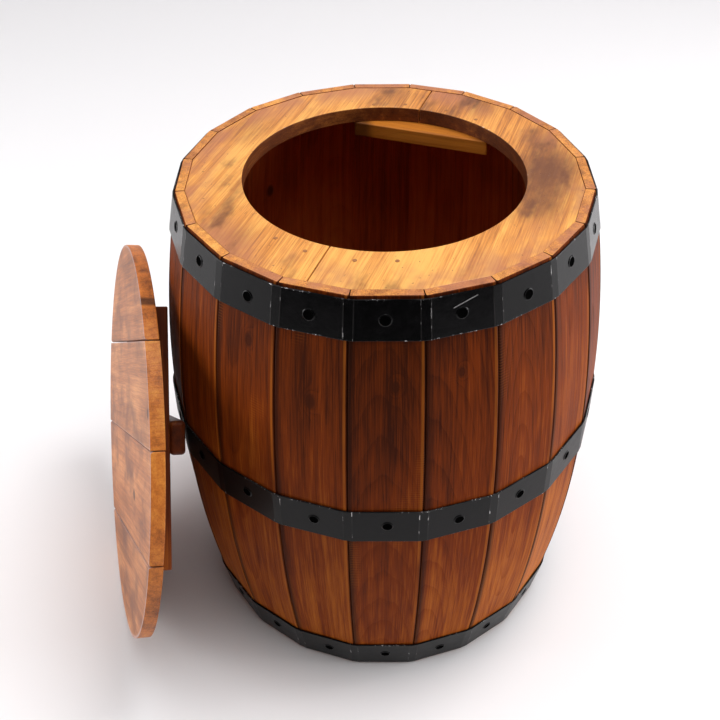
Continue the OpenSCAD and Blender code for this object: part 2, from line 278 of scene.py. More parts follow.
class Finish:
    """One surface finish: a material whose shader takes its colour, gloss and relief from wires."""

    def __init__(self, name, **constants):
        self.material = bpy.data.materials.new(name)
        self.material.use_nodes = True
        self.tree = self.material.node_tree
        self.tree.nodes.clear()
        self.shader = self.tree.nodes.new("ShaderNodeBsdfPrincipled")
        output = self.tree.nodes.new("ShaderNodeOutputMaterial")
        self.tree.links.new(self.shader.outputs["BSDF"], output.inputs["Surface"])
        for socket, value in constants.items():
            self.feed(socket.replace("_", " ").title().replace("Ior", "IOR"), value)

    def feed(self, socket, value):
        """Gives one of the shader's own sockets a constant or a wire."""
        if isinstance(value, Wire):
            self.tree.links.new(value.socket, self.shader.inputs[socket])
        elif hasattr(value, "__len__"):
            self.shader.inputs[socket].default_value = (*value, 1)
        else:
            self.shader.inputs[socket].default_value = value

    def node(self, kind, options=None, inputs=None, output=0):
        """Adds a node: its settings first, then the values or wires of its sockets."""
        made = self.tree.nodes.new(kind)
        for key, value in (options or {}).items():
            if key == "stops":
                self.fill_ramp(made.color_ramp, value)
            else:
                setattr(made, key, value)
        for key, value in (inputs or {}).items():
            if isinstance(value, Wire):
                self.tree.links.new(value.socket, made.inputs[key])
            else:
                made.inputs[key].default_value = value
        return Wire(self, made.outputs[output])

    @staticmethod
    def fill_ramp(ramp, stops):
        """Sets a colour ramp's stops from (place, colour) pairs."""
        while len(ramp.elements) < len(stops):
            ramp.elements.new(0.5)
        for element, (place, tone) in zip(ramp.elements, stops):
            element.position = place
            element.color = (*tone, 1)

    def maths(self, operation, *values):
        """One Math node."""
        return self.node("ShaderNodeMath", {"operation": operation}, dict(enumerate(values)))

    def attribute(self, name, output="Vector"):
        """A named attribute of the piece."""
        return self.node("ShaderNodeAttribute", {"attribute_name": name}, output=output)

    def split(self, wire):
        """The three parts of a vector."""
        return [self.node("ShaderNodeSeparateXYZ", inputs={0: wire}, output=k) for k in range(3)]

    def scaled(self, wire, scales):
        """A vector times a constant vector."""
        return self.node("ShaderNodeVectorMath", {"operation": "MULTIPLY"}, {0: wire, 1: scales})

    def speckle(self, wire, scales, seed, detail=2.0, roughness=0.5):
        """Noise from 0 to 1 that is stretched by scales, in repeats per metre."""
        inputs = {"Vector": self.scaled(wire, scales), "W": seed, "Scale": 1}
        inputs |= {"Detail": detail, "Roughness": roughness}
        return self.node("ShaderNodeTexNoise", {"noise_dimensions": "4D"}, inputs)

    def blend(self, factor, a, b, mode="MIX"):
        """Mixes two colours."""
        first, second = [tone if isinstance(tone, Wire) else (*tone, 1) for tone in (a, b)]
        options = {"data_type": "RGBA", "blend_type": mode}
        return self.node("ShaderNodeMix", options, {0: factor, 6: first, 7: second}, output=2)

    def ramp(self, factor, *stops):
        """A colour from a value, through (place, colour) stops."""
        return self.node("ShaderNodeValToRGB", {"stops": stops}, {0: factor})

    def full(self, wire):
        """A wire that stops at 1."""
        return self.maths("MINIMUM", wire, 1.0)

    def unsigned(self, wire):
        """A wire without its sign."""
        return self.maths("ABSOLUTE", wire)

    def bell(self, x, y, width):
        """1 at the middle of a round spot, falling to 0 around it."""
        return self.maths("EXPONENT", (x * x + y * y) * -width)

    def distance(self, x, y):
        """The length of a step x across and y along."""
        return self.maths("SQRT", x * x + y * y)

    def relief(self, height, depth):
        """Raises the surface: height from 0 to 1 stands for depth in metres."""
        bump = self.node("ShaderNodeBump", inputs={"Height": height, "Distance": depth, "Strength": 1.0})
        self.feed("Normal", bump)


class Grain:
    """The figure of a sawn board, read from where each point lies in its own board."""

    def __init__(self, finish, ring_gap):
        self.place = finish.attribute("board")
        self.across, self.depth, self.along = finish.split(self.place)
        self.seed, self.tone, self.warmth = finish.split(finish.attribute("trait"))
        knot = self.knot_field(finish)
        options = {"noise_dimensions": "1D"}
        chance = finish.node("ShaderNodeTexWhiteNoise", options, {"W": self.seed}, output="Color")
        heart_x, heart_y, lean = finish.split(chance)
        wander = finish.speckle(self.place, (13, 13, 3.2), self.seed, 1.0) - 0.5
        ripple = finish.speckle(self.place, (95, 95, 14), self.seed, 2.0) - 0.5
        x = self.across - (heart_x - 0.5) * 0.05 + wander * 0.016
        y = self.depth + 0.012 + heart_y * 0.03 + self.along * (lean - 0.5) * 0.34
        radius = finish.distance(x, y) + knot * 0.011 + ripple * 0.0022
        turns = finish.maths("FRACT", radius / ring_gap)
        self.late = turns**3.0 * turns.step(1.0, 0.93)
        self.streak = finish.speckle(self.place, (170, 170, 3.5), self.seed, 3.0, 0.6)
        self.fibre = finish.speckle(self.place, (1100, 1100, 28), self.seed, 3.0, 0.6)
        self.blotch = finish.speckle(self.place, (22, 22, 8), self.seed, 3.0, 0.55)
        self.pore = finish.speckle(self.place, (2400, 2400, 130), self.seed, 1.0).step(0.66, 0.74)

    def knot_field(self, finish):
        """1 in the middle of the board's knot, falling to 0 around it."""
        knot_across, knot_along, size = finish.split(finish.attribute("knot"))
        x = (self.across - knot_across) / size
        z = (self.along - knot_along) / size * 0.62
        self.heart = finish.distance(x, z).step(0.95, 0.45)
        return finish.bell(x, z, 0.9)

    def lightness(self, base, streak, blotch, fibre, late, pore):
        """How light the wood is at each point, from the share of each part of its figure."""
        value = base + self.tone + (self.streak - 0.5) * streak + (self.blotch - 0.5) * blotch
        return value + (self.fibre - 0.5) * fibre - self.late * late - self.pore * pore

    def height(self, fibre=0.5, streak=0.5, late=0.4, pore=0.4):
        """How high the surface stands at each point, from the share of each part of its figure."""
        return self.fibre * fibre + self.streak * streak - self.late * late - self.pore * pore


def stave_finish(colours):
    """Red-brown stain, scorched beside the joints, with painted shade along each stave's left edge, a painted
    highlight along its right edge and painted light towards the foot.
    """
    finish = Finish("stained_stave", coat_weight=0.01, coat_roughness=0.2, specular_ior_level=0.05)
    grain = Grain(finish, 0.0034)
    value = grain.lightness(0.46, streak=0.80, blotch=0.55, fibre=0.85, late=0.11, pore=0.12)
    # painted light: lighter towards the foot, standing in for the light bounced up from the pale floor
    value = value + (HEIGHT / 2 - 0.02 - grain.along) * 1.25
    dark, body, light = tones_of(colours, "stave")
    tone = finish.ramp(value, (0.08, dark), (0.46, body), (0.92, light))
    tone = finish.blend(grain.warmth, tone, (1.0, 0.84, 0.72), "MULTIPLY")
    tone = finish.blend(grain.heart * 0.85, tone, dark)
    from_left = grain.across + STAVE_WIDE / 2
    from_right = STAVE_WIDE / 2 - grain.across
    # scorched dark beside each joint; the wider band along each stave's left edge is painted shade, as that
    # chamfer faces away from the light
    scorched = from_left.step(0.0062, 0.0012) * (0.45 + grain.blotch * 0.9)
    scorched = scorched + from_right.step(0.0016, 0.0002) * 0.8
    tone = finish.blend(finish.full(scorched) * 0.85, tone, [part * 0.4 for part in dark])
    # painted highlight: a light band in patches along each stave's right edge, where the chamfer catches the
    # light from the right
    worn = from_right.step(0.0036, 0.0024) * from_right.step(0.0008, 0.0014) * grain.blotch.step(0.30, 0.55)
    tone = finish.blend(worn * 0.5, tone, light)
    # the saw left fine lines across the stave, a couple of millimetres apart
    saw = finish.maths("SINE", grain.along * (2 * math.pi / 0.0021) + grain.streak * 2.5)
    sawn = saw * grain.blotch.step(0.52, 0.66)
    finish.feed("Base Color", finish.blend(sawn.step(0.1, 1.0) * 0.22, tone, light))
    finish.feed("Roughness", 0.42 + grain.fibre * 0.22 + grain.late * 0.08)
    finish.relief(grain.height(fibre=0.45, streak=0.55, late=0.35, pore=0.3) + sawn * 0.12, 0.00022)
    return finish.material


# brown marks on the head ring: place across and along the boards, size, strength
RING_MARKS = (
    (0.111, 0.042, 0.026, 1.05),
    (0.117, -0.008, 0.018, 0.65),
    (0.040, 0.128, 0.018, 0.55),
    (0.092, 0.092, 0.016, 0.45),
    (-0.066, -0.105, 0.013, 0.40),
    (-0.118, 0.030, 0.020, 0.40),
    (-0.030, 0.124, 0.022, 0.35),
)


def ring_finish(colours, mouth):
    """Honey-coloured boards with streaks, brown scorched marks and a pink-brown blush near the rim."""
    finish = Finish("honey_board", coat_weight=0.08, coat_roughness=0.3, specular_ior_level=0.3)
    grain = Grain(finish, 0.0046)
    value = grain.lightness(0.60, streak=0.95, blotch=0.95, fibre=1.25, late=0.07, pore=0.22)
    # painted light: lighter towards the front and darker towards the back; the staves' ends stand at one
    # height, so they all get the same
    value = value - finish.maths("MINIMUM", grain.along, 0.2) * 0.8
    dark, body, light = tones_of(colours, "ring")
    tone = finish.ramp(value, (0.12, dark), (0.52, body), (0.86, light))
    away = finish.distance(grain.across, grain.along)
    wide = finish.speckle(grain.place, (34, 34, 20), grain.seed, 3.0, 0.6)
    blush = away.step(mouth + 0.004, HEAD_CORNER - 0.004) * wide.step(0.40, 0.62)
    tone = finish.blend(blush * 0.72, tone, colours.blush)
    patch = finish.speckle(grain.place, (30, 30, 13), grain.seed + 3.7, 4.0, 0.6).step(0.50, 0.74) * 0.85
    for x, y, size, strength in RING_MARKS:
        spot = finish.bell((grain.across - x) / size, (grain.along - y) / size * 0.7, 1.0)
        patch = patch + spot * strength
    mottle = finish.speckle(grain.place, (260, 260, 120), grain.seed, 3.0, 0.65)
    patch = patch * (0.35 + grain.streak * 0.55 + mottle * 0.55)
    tone = finish.blend(patch.step(0.0, 1.0), tone, colours.scorch)
    pits = finish.speckle(grain.place, (420, 420, 300), grain.seed, 1.0).step(0.71, 0.76)
    tone = finish.blend(pits * 0.6, tone, colours.scorch)
    to_mouth = finish.unsigned(away - mouth)
    flecks = finish.speckle(grain.place, (300, 300, 300), grain.seed + 9.1, 2.0, 0.6).step(0.63, 0.67)
    flecks = flecks * to_mouth.step(0.0055, 0.0015) * grain.along.step(0.02, 0.07)
    tone = finish.blend(flecks * 0.75, tone, (0.86, 0.70, 0.60))
    finish.feed("Base Color", tone)
    finish.feed("Roughness", 0.40 + grain.fibre * 0.2)
    finish.relief(grain.height(late=0.3) - pits * 0.8, 0.00025)
    return finish.material


def plank_finish(name, dark, body, light, coat):
    """Plain sawn board in three tones of one stain."""
    finish = Finish(name, coat_weight=coat, coat_roughness=0.3, specular_ior_level=0.3)
    grain = Grain(finish, 0.0040)
    value = grain.lightness(0.50, streak=0.80, blotch=0.95, fibre=0.50, late=0.08, pore=0.10)
    tone = finish.ramp(value, (0.12, dark), (0.50, body), (0.88, light))
    tone = finish.blend(grain.warmth, tone, (1.0, 0.72, 0.55), "MULTIPLY")
    tone = finish.blend(grain.heart * 0.8, tone, [part * 0.35 for part in dark])
    finish.feed("Base Color", tone)
    finish.feed("Roughness", 0.42 + grain.fibre * 0.2)
    finish.relief(grain.height(), 0.00028)
    return finish.material


def lid_face_finish(colours, lid):
    """The lid's plain face: stained boards, grubby in patches, with pale worn edges at the rim and joints."""
    finish = Finish("lid_board", coat_weight=0.05, coat_roughness=0.3, specular_ior_level=0.3)
    grain = Grain(finish, 0.0042)
    value = grain.lightness(0.53, streak=0.75, blotch=1.0, fibre=0.8, late=0.08, pore=0.16)
    dark, body, light = tones_of(colours, "lid")
    tone = finish.ramp(value, (0.12, dark), (0.50, body), (0.88, light))
    tone = finish.blend(grain.warmth, tone, (1.0, 0.72, 0.55), "MULTIPLY")
    grime = finish.speckle(grain.place, (26, 26, 15), grain.seed + 5.3, 3.0, 0.6).step(0.44, 0.68)
    tone = finish.blend(grime * (0.45 + grain.streak * 0.6), tone, colours.grime)
    tone = finish.blend(grain.heart * 0.8, tone, [part * 0.35 for part in dark])
    to_edge = lid.radius - finish.distance(grain.across, grain.along)
    for joint in lid_joints(lid):
        # a joint is less worn than the rim
        to_edge = finish.maths("MINIMUM", to_edge, finish.unsigned(grain.across - joint) + 0.0016)
    rubbed = to_edge.step(0.0036, 0.0012) * grain.depth.step(-0.0034, -0.0016)
    rubbed = rubbed * (0.35 + grain.blotch * 0.4 + grain.fibre * 0.5)
    tone = finish.blend(finish.full(rubbed) * 0.6, tone, colours.rubbed)
    finish.feed("Base Color", tone)
    finish.feed("Roughness", 0.45 + grain.fibre * 0.2)
    finish.relief(grain.height(), 0.00035)
    return finish.material


# the scratch on the top strap: bay, middle across and up the bay, and how far it runs and climbs
TOP_SCRATCH = (1, 0.002, 0.0075, 0.017, 0.006)


def strap_finish(colours, name, wide, half_bay, gloss, scratch=None):
    """Black paint on steel, worn to bare metal in specks along the edges and the creases."""
    finish = Finish(name, specular_ior_level=0.15)
    round_it, up, bay = finish.split(finish.attribute("strap"))
    where = finish.node("ShaderNodeTexCoord", output="Object")
    rim = wide / 2 - finish.unsigned(up)
    crease = finish.unsigned(finish.unsigned(round_it) - half_bay)
    flake = finish.speckle(where, (420, 420, 420), 1.0, 4.0, 0.7)
    drawn = finish.speckle(where, (300, 300, 110), 4.0, 2.0, 0.6)
    patchy = finish.speckle(where, (38, 38, 38), 2.0, 2.0)
    chips = rim.step(0.0010, 0.0002) * flake.step(0.57, 0.62) * patchy.step(0.46, 0.60)
    chips = chips + crease.step(0.0007, 0.0001) * drawn.step(0.56, 0.62) * patchy.step(0.36, 0.54)
    chips = chips + flake.step(0.735, 0.75) * patchy.step(0.5, 0.6)
    if scratch:
        at_bay, x, z, run, rise = scratch
        size = math.hypot(run, rise)
        beside = finish.unsigned((round_it - x) * (rise / size) - (up - z) * (run / size))
        beyond = finish.unsigned((round_it - x) * (run / size) + (up - z) * (rise / size))
        line = beside.step(0.00045, 0.0001) * beyond.step(size / 2, size / 2 - 0.001)
        on_bay = finish.maths("COMPARE", bay, at_bay, 0.1)
        chips = chips + line * on_bay * (0.4 + drawn * 0.8)
    chips = finish.full(chips)
    dust = finish.speckle(where, (130, 130, 130), 3.0, 5.0, 0.7)
    tone = finish.blend(dust.step(0.35, 0.85) * 0.35, colours.paint, (0.012, 0.011, 0.012))
    rubbed = crease.step(0.0010, 0.0003) * patchy.step(0.30, 0.70)
    rubbed = rubbed + rim.step(0.0007, 0.0002) * patchy.step(0.45, 0.62)
    tone = finish.blend(finish.full(rubbed) * 0.4, tone, (0.055, 0.050, 0.050))
    finish.feed("Base Color", finish.blend(chips, tone, colours.bare_steel))
    finish.feed("Metallic", chips)
    finish.feed("Roughness", gloss + (dust - 0.5) * 0.22)
    finish.relief(flake * 0.3 + dust * 0.7 - chips * 0.5, 0.00012)
    return finish.material


def dull_finish(name, tone, metal, gloss):
    """Dull metal with a little mottling."""
    finish = Finish(name, metallic=metal)
    where = finish.node("ShaderNodeTexCoord", output="Object")
    mottle = finish.speckle(where, (900, 900, 900), 1.0, 3.0, 0.6)
    finish.feed("Base Color", finish.blend(mottle.step(0.3, 0.8), tone, [part * 1.8 for part in tone]))
    finish.feed("Roughness", gloss + mottle * 0.2)
    finish.relief(mottle, 0.00005)
    return finish.material


def paper_finish(colours):
    """Seamless pale paper."""
    finish = Finish("studio_paper", roughness=0.75, specular_ior_level=0.2)
    where = finish.node("ShaderNodeTexCoord", output="Object")
    cloud = finish.speckle(where, (1.5, 1.5, 1.5), 1.0, 2.0)
    finish.feed("Base Color", finish.blend(cloud * 0.04, colours.paper, (0.86, 0.85, 0.86)))
    return finish.material


# ---- mesh helpers ----


# points that lie nearer than this, in metres, count as level
TINY = 1e-6


def sharp_edges(bm, degrees=25):
    """The edges where two faces meet at more than an angle."""
    limit = math.radians(degrees)
    return [e for e in bm.edges if len(e.link_faces) == 2 and e.calc_face_angle() > limit]


def round_over(bm, edges, width, segments=2):
    """Bevels edges."""
    bmesh.ops.bevel(
        bm,
        geom=edges,
        offset=width,
        offset_type="OFFSET",
        affect="EDGES",
        segments=segments,
        profile=0.5,
        material=-1,
        clamp_overlap=True,
    )


def level(edge, axis):
    """Whether an edge keeps to one place along an axis."""
    return abs(edge.verts[0].co[axis] - edge.verts[1].co[axis]) < TINY


def block(size, centre=(0, 0, 0)):
    """A box as a new bmesh."""
    bm = bmesh.new()
    bmesh.ops.create_cube(bm, size=1, matrix=Matrix.Translation(centre) @ Matrix.Diagonal((*size, 1)))
    return bm


def slice_at(bm, point, normal):
    """Adds a loop of edges where a plane crosses the mesh."""
    geom = bm.verts[:] + bm.edges[:] + bm.faces[:]
    bmesh.ops.bisect_plane(bm, geom=geom, dist=1e-7, plane_co=point, plane_no=normal)


def cut_away(bm, point, normal):
    """Cuts off what lies on the side that normal points to, and closes the cut."""
    geom = bm.verts[:] + bm.edges[:] + bm.faces[:]
    bmesh.ops.bisect_plane(bm, geom=geom, dist=1e-7, plane_co=point, plane_no=normal, clear_outer=True)
    bmesh.ops.holes_fill(bm, edges=[e for e in bm.edges if e.is_boundary], sides=0)


def extrude(bm, parts, step):
    """Extrudes faces or open edges by a step. Gives the new vertices and edges."""
    if isinstance(parts[0], bmesh.types.BMFace):
        made = bmesh.ops.extrude_face_region(bm, geom=parts)["geom"]
    else:
        made = bmesh.ops.extrude_edge_only(bm, edges=parts)["geom"]
    verts = [part for part in made if isinstance(part, bmesh.types.BMVert)]
    edges = [part for part in made if isinstance(part, bmesh.types.BMEdge)]
    bmesh.ops.translate(bm, vec=step, verts=verts)
    return verts, edges


def mark_board(bm, axes, trait, knot=NO_KNOT):
    """Writes where each point lies in its board (across, depth, along) and the board's own traits."""
    place = bm.verts.layers.float_vector.new("board")
    traits = bm.verts.layers.float_vector.new("trait")
    knots = bm.verts.layers.float_vector.new("knot")
    for vert in bm.verts:
        vert[place] = axes @ vert.co
        vert[traits] = trait
        vert[knots] = knot


def finished(bm, name, materials):
    """Turns a bmesh into an object at the origin."""
    mesh = bpy.data.meshes.new(name)
    bm.to_mesh(mesh)
    bm.free()
    for material in materials:
        mesh.materials.append(material)
    made = bpy.data.objects.new(name, mesh)
    bpy.context.scene.collection.objects.link(made)
    return made


def make_piece(bm, name, body, node, materials, smooth=4.0):
    """Turns a bmesh into the finished piece that stands for a node."""
    limit = math.radians(smooth)
    for face in bm.faces:
        face.smooth = True
    for edge in bm.edges:
        edge.smooth = len(edge.link_faces) == 2 and edge.calc_face_angle() < limit
    piece = finished(bm, name, materials)
    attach(piece, body)
    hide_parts(node)


def stave_turn(index):
    """Turns a piece drawn towards the front to the place of a stave, counted from 0 at the front."""
    return Matrix.Rotation(index * BAY, 4, "Z")


# ---- the staves ----

# how light each stave's stain is, round from the front, and how red; the staves at the left front (17 to 19)
# are set lighter and yellower, which is painted light from the upper left
STAVE_TONES = (
    (-0.06, 0.35), (0.00, 0.45), (0.07, 0.25), (0.12, 0.10), (0.04, 0.30), (-0.02, 0.20), (0.05, 0.40),
    (-0.05, 0.10), (0.02, 0.30), (0.08, 0.15), (-0.04, 0.35), (0.03, 0.20), (0.06, 0.45), (-0.03, 0.25),
    (0.05, 0.10), (0.10, 0.20), (0.09, 0.05), (0.08, 0.00), (0.05, 0.05), (0.02, 0.15),
)  # fmt: skip
# knots: stave counted from 0 at the front, place across and up it, and size
STAVE_KNOTS = {
    19: (0.000, 0.305, 0.0052),
    1: (-0.001, 0.328, 0.0036),
    18: (0.003, 0.337, 0.0048),
    0: (0.006, 0.322, 0.0042),
    4: (-0.008, 0.120, 0.0050),
    7: (0.005, 0.270, 0.0055),
    10: (-0.004, 0.090, 0.0045),
    12: (0.007, 0.300, 0.0050),
    15: (-0.003, 0.150, 0.0048),
}
# a stave is cut across into this many parts so that it can bend, and lengthwise at these shares
STAVE_PARTS = 40
STAVE_CUTS = (-0.6, -0.2, 0.2, 0.6)


def bend_stave(bm, gap, rng):
    """Bends a straight plank to the barrel's side: it bows out, and tapers to both ends."""
    twist = rng.uniform(-0.012, 0.012)
    sink = rng.uniform(0.0, 0.0003)
    for vert in bm.verts:
        across, depth, up = vert.co
        wave = 0.00018 * noise.noise(Vector((across * 40, up * 9, sink * 1e5)))
        out = flat_at(up) + depth - sink - abs(wave) + twist * across * (1 if depth > -0.004 else 0)
        open_share = max(0.0, 1 + depth / STAVE_THICK)
        side = out * math.tan(HALF) - open_share * gap / (2 * math.cos(HALF))
        vert.co = (across / (STAVE_WIDE / 2) * side, -out, up)


def build_stave(index, sizes, seed, materials):
    """One stave: a chamfered plank, bent and set in its place."""
    rng = random.Random(seed * 100 + index)
    bm = block((STAVE_WIDE, STAVE_THICK, HEIGHT), (0, -STAVE_THICK / 2, HEIGHT / 2))
    outer = [e for e in bm.edges if all(v.co.y > -TINY for v in e.verts) and level(e, 0)]
    round_over(bm, outer, sizes.stave_chamfer, 2)
    top = [e for e in sharp_edges(bm, 57) if all(v.co.z > HEIGHT - TINY for v in e.verts)]
    round_over(bm, top, STAVE_END_EDGE, 1)
    for k in range(1, STAVE_PARTS):
        slice_at(bm, (0, 0, HEIGHT * k / STAVE_PARTS), (0, 0, 1))
    for share in STAVE_CUTS:
        slice_at(bm, (share * STAVE_WIDE / 2, 0, 0), (1, 0, 0))
    lightness, redness = STAVE_TONES[index % len(STAVE_TONES)]
    trait = (rng.uniform(1, 90), lightness, redness)
    mark_board(bm, Matrix.Identity(3), trait, STAVE_KNOTS.get(index, NO_KNOT))
    for face in bm.faces:
        face.material_index = 1 if face.normal.z > 0.9 else 2 if face.normal.y < -0.9 else 0
    bend_stave(bm, sizes.stave_gap, rng)
    bmesh.ops.transform(bm, matrix=stave_turn(index), verts=bm.verts)
    bmesh.ops.recalc_face_normals(bm, faces=bm.faces)
    node = STAVES[index]
    make_piece(bm, "oak_" + node, "barrel", node, materials)


# ---- the straps and their nails ----


def strap_band(place):
    """A strap's lowest, middle and highest height, and the slope of its side."""
    low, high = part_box("hoop_" + place)
    mid = (low.z + high.z) / 2
    return low.z, mid, high.z, math.asin((mid - HEIGHT / 2) / ARC)


def build_strap(place, sizes, material):
    """One strap: a ring of flats with a crease on each side of every joint."""
    low, mid, high, slope = strap_band(place)
    bm = bmesh.new()
    corner = (flat_at(mid) + sizes.strap_thick / math.cos(slope)) / math.cos(HALF)
    bmesh.ops.create_circle(bm, segments=STAVE_COUNT, radius=corner, cap_ends=False)
    bmesh.ops.rotate(bm, verts=bm.verts, matrix=Matrix.Rotation(HALF, 3, "Z"))
    upper, _ = extrude(bm, bm.edges[:], (0, 0, 0))
    lower = [v for v in bm.verts if v not in upper]
    for verts, z in ((lower, low), (upper, high)):
        taper = 1 - (z - mid) * math.tan(slope) / (corner * math.cos(HALF))
        bmesh.ops.scale(bm, vec=(taper, taper, 1), verts=verts)
        bmesh.ops.translate(bm, vec=(0, 0, z), verts=verts)
    round_over(bm, [e for e in bm.edges if not level(e, 2)], sizes.crease / 2, 1)
    for k in range(1, 4):
        slice_at(bm, (0, 0, low + (high - low) * k / 4), (0, 0, 1))
    bmesh.ops.recalc_face_normals(bm, faces=bm.faces)
    bmesh.ops.solidify(bm, geom=bm.faces[:], thickness=sizes.strap_thick)
    bmesh.ops.recalc_face_normals(bm, faces=bm.faces)
    round_over(bm, sharp_edges(bm, 60), STRAP_EDGE, 2)
    strap = bm.verts.layers.float_vector.new("strap")
    for vert in bm.verts:
        turn = math.atan2(vert.co.x, -vert.co.y)
        local = (turn + HALF) % BAY - HALF
        bay = round((turn - local) / BAY) % STAVE_COUNT
        vert[strap] = (math.tan(local) * flat_at(mid), vert.co.z - mid, bay)
    make_piece(bm, "strap_" + place, "barrel", "hoop_" + place, [material])


# how far a strap nail may stray from its place, around and up the strap
NAIL_STRAY = (0.0022, 0.0018)
# a strap nail's lip, as steps in from its edge with heights, and its sunk middle, as radii with heights
NAIL_LIP = ((0, -0.0002), (0.0004, 0.0002), (0.0008, 0.00048), (0.0012, 0.00056), (0.0016, 0.00044))
NAIL_MIDDLE = ((0.0022, 0.00014), (0.0011, 0.0001), (0.0, 0.0001))


def nail_head(radius):
    """The dished head of a strap nail as a mesh: a raised rim round a sunk middle."""
    bm = bmesh.new()
    outline = [(radius - inward, z) for inward, z in NAIL_LIP] + list(NAIL_MIDDLE)
    points = [bm.verts.new((x, 0, z)) for x, z in outline]
    edges = [bm.edges.new(pair) for pair in zip(points, points[1:])]
    bmesh.ops.spin(
        bm, geom=points + edges, cent=(0, 0, 0), axis=(0, 0, 1), angle=2 * math.pi, steps=24, use_merge=True
    )
    bmesh.ops.remove_doubles(bm, verts=bm.verts, dist=TINY)
    bmesh.ops.holes_fill(bm, edges=[e for e in bm.edges if e.is_boundary], sides=0)
    bmesh.ops.recalc_face_normals(bm, faces=bm.faces)
    # the faces of the sunk middle take the second finish, painted shade
    for face in bm.faces:
        middle = face.calc_center_median()
        face.material_index = 1 if middle.xy.length < radius - 0.0013 and middle.z > 0 else 0
    shape = bpy.data.meshes.new("nail_head")
    bm.to_mesh(shape)
    bm.free()
    return shape


def build_strap_nails(place, sizes, materials):
    """The nails of one strap, each a little off its place."""
    _, mid, _, slope = strap_band(place)
    shape = nail_head(sizes.dish / 2)
    bm = bmesh.new()
    face_out = Matrix.Rotation(math.pi / 2 - slope, 4, "X")
    surface = flat_at(mid) + sizes.strap_thick / math.cos(slope)
    rng = random.Random(len(place))
    for index in range(STAVE_COUNT):
        before = set(bm.verts)
        bm.from_mesh(shape)
        new = [v for v in bm.verts if v not in before]
        aside, above = (rng.uniform(-stray, stray) for stray in NAIL_STRAY)
        spot = Matrix.Translation((aside, above * math.tan(slope) - surface, mid + above))
        bmesh.ops.transform(bm, matrix=stave_turn(index) @ spot @ face_out, verts=new)
    bpy.data.meshes.remove(shape)
    # the strap's finish finds no edge and no crease on a nail
    bm.verts.layers.float_vector.new("strap")
    node = "hoop_nails_" + place
    make_piece(bm, "strap_nails_" + place, "barrel", node, materials, smooth=40.0)


# ---- the heads ----


def polygon_reach(turn):
    """Distance from the axis to the edge of a head in a direction, inside the staves."""
    local = (turn + math.pi / 2 + HALF) % BAY - HALF
    return HEAD_CORNER * math.cos(HALF) / math.cos(local)


def head_disc(low, thick, mouth=None):
    """A head cut to the staves: a closed plate, or a ring round a mouth of (radius, centre's y)."""
    bm = bmesh.new()
    count = STAVE_COUNT * 8
    radius = mouth[0] if mouth else HEAD_CORNER
    bmesh.ops.create_circle(bm, segments=count, radius=radius, cap_ends=not mouth)
    inner = outer = bm.verts[:]
    if mouth:
        outer, _ = extrude(bm, bm.edges[:], (0, 0, 0))
    for vert in outer:
        turn = math.atan2(vert.co.y, vert.co.x)
        vert.co.xy = Vector((math.cos(turn), math.sin(turn))) * polygon_reach(turn)
    if mouth:
        bmesh.ops.translate(bm, vec=(0, mouth[1], 0), verts=inner)
    bmesh.ops.translate(bm, vec=(0, 0, low), verts=bm.verts)
    extrude(bm, bm.faces[:], (0, 0, thick))
    bmesh.ops.recalc_face_normals(bm, faces=bm.faces)
    return bm


def board_axes(turn):
    """Rows that turn a point into (across, depth, along) for boards that run in a direction."""
    return Matrix(((math.sin(turn), -math.cos(turn), 0), (0, 0, 1), (math.cos(turn), math.sin(turn), 0)))


def build_ring_board(side, sizes, trait, materials):
    """One of the two boards round the mouth."""
    bm = head_disc(HEIGHT - HEAD_THICK, HEAD_THICK - HAIR, (sizes.mouth, sizes.mouth_back))
    axes = board_axes(sizes.board_turn)
    outward = axes.row[0] * side
    cut_away(bm, axes.row[0] * (sizes.ring_joint + side * HALF_JOINT), -outward)
    bmesh.ops.recalc_face_normals(bm, faces=bm.faces)
    for face in bm.faces:
        middle = face.calc_center_median().xy - Vector((0, sizes.mouth_back))
        wall = abs(face.normal.z) < 0.5 and middle.length < sizes.mouth + 0.001
        face.material_index = 1 if wall else 0
    round_over(bm, sharp_edges(bm, 50), RING_EDGE, 2)
    mark_board(bm, axes, trait)
    name = "left" if side < 0 else "right"
    make_piece(bm, "mouth_board_" + name, "barrel", "ring_board_" + name, materials, smooth=6.0)


def build_floor_plank(index, sizes, trait, material):
    """One plank of the floor."""
    bm = head_disc(0, HEAD_THICK)
    across = board_axes(sizes.board_turn).row[0]
    if index > 0:
        cut_away(bm, across * (sizes.floor_joint + (index - 2) * sizes.floor_plank + HAIR), -across)
    if index < 3:
        cut_away(bm, across * (sizes.floor_joint + (index - 1) * sizes.floor_plank - HAIR), across)
    bmesh.ops.recalc_face_normals(bm, faces=bm.faces)
    round_over(bm, sharp_edges(bm, 50), FLOOR_EDGE, 2)
    mark_board(bm, board_axes(sizes.board_turn), trait)
    node = FLOOR_PLANKS[index]
    make_piece(bm, node + "_board", "barrel", node, [material], smooth=6.0)


def build_batten(node, name, body, size, matrix, axes, trait, material, edge=BATTEN_EDGE, knot=NO_KNOT):
    """A batten or bar: a long block with softened edges."""
    bm = block(size)
    round_over(bm, sharp_edges(bm), edge, 3)
    mark_board(bm, axes, trait, knot)
    bmesh.ops.transform(bm, matrix=matrix, verts=bm.verts)
    make_piece(bm, name, body, node, [material], smooth=6.0)


